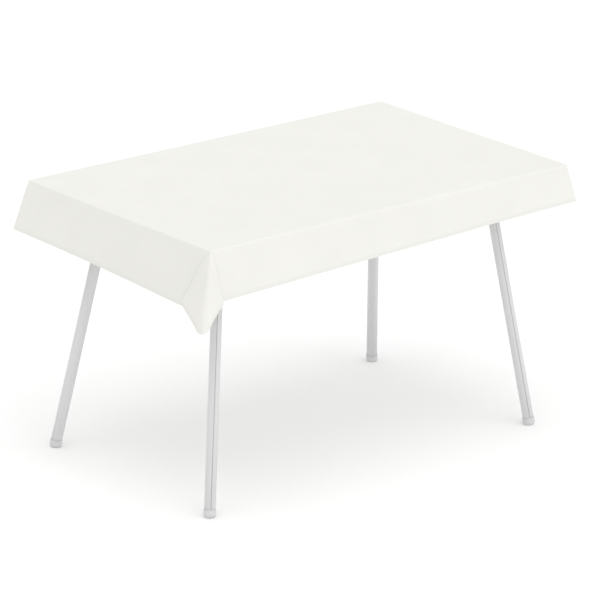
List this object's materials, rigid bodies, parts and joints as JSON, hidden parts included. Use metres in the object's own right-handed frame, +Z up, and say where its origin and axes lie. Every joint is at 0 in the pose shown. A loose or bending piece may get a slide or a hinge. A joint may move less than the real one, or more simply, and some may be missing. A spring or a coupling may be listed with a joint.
{
  "type": "tablecloth on a table",
  "caption": "Plain off-white rectangular tablecloth draped over a table with splayed round metal legs; one corner hangs in a soft cone, others are folded round.",
  "frame": {"origin": "on the floor, under the middle of the tabletop", "axes": "+Z up, X along the table's long sides, the front long side faces -Y"},
  "size_m": [1.347, 0.825, 0.75],
  "materials": {
    "cloth": "plain fine weave, matt",
    "board": "laminated particle board, satin",
    "edge_band": "smooth satin edge banding",
    "plate_metal": "zinc plated, satin",
    "screw_metal": "zinc plated",
    "leg_metal": "satin silver tube",
    "foot_plastic": "moulded, satin"
  },
  "bodies": {
    "table": {"tabletop_board": "board", "edge_band_front": "edge_band", "edge_band_back": "edge_band", "edge_band_left": "edge_band", "edge_band_right": "edge_band", "leg_mount_front_left": "plate_metal", "mount_screw_front_left_1": "screw_metal", "mount_screw_front_left_2": "screw_metal", "mount_screw_front_left_3": "screw_metal", "mount_screw_front_left_4": "screw_metal", "clamp_screw_front_left": "screw_metal", "leg_tube_front_left": "leg_metal", "foot_cap_front_left": "foot_plastic", "leg_mount_front_right": "plate_metal", "mount_screw_front_right_1": "screw_metal", "mount_screw_front_right_2": "screw_metal", "mount_screw_front_right_3": "screw_metal", "mount_screw_front_right_4": "screw_metal", "clamp_screw_front_right": "screw_metal", "leg_tube_front_right": "leg_metal", "foot_cap_front_right": "foot_plastic", "leg_mount_back_right": "plate_metal", "mount_screw_back_right_1": "screw_metal", "mount_screw_back_right_2": "screw_metal", "mount_screw_back_right_3": "screw_metal", "mount_screw_back_right_4": "screw_metal", "clamp_screw_back_right": "screw_metal", "leg_tube_back_right": "leg_metal", "foot_cap_back_right": "foot_plastic", "leg_mount_back_left": "plate_metal", "mount_screw_back_left_1": "screw_metal", "mount_screw_back_left_2": "screw_metal", "mount_screw_back_left_3": "screw_metal", "mount_screw_back_left_4": "screw_metal", "clamp_screw_back_left": "screw_metal", "leg_tube_back_left": "leg_metal", "foot_cap_back_left": "foot_plastic"},
    "cloth": {"tablecloth": "cloth"}
  },
  "joints": [
    {"name": "cloth_lift", "type": "slide", "parent": "table", "child": "cloth", "axis": [0, 0, 1], "range_m": [0, 0.3]}
  ]
}
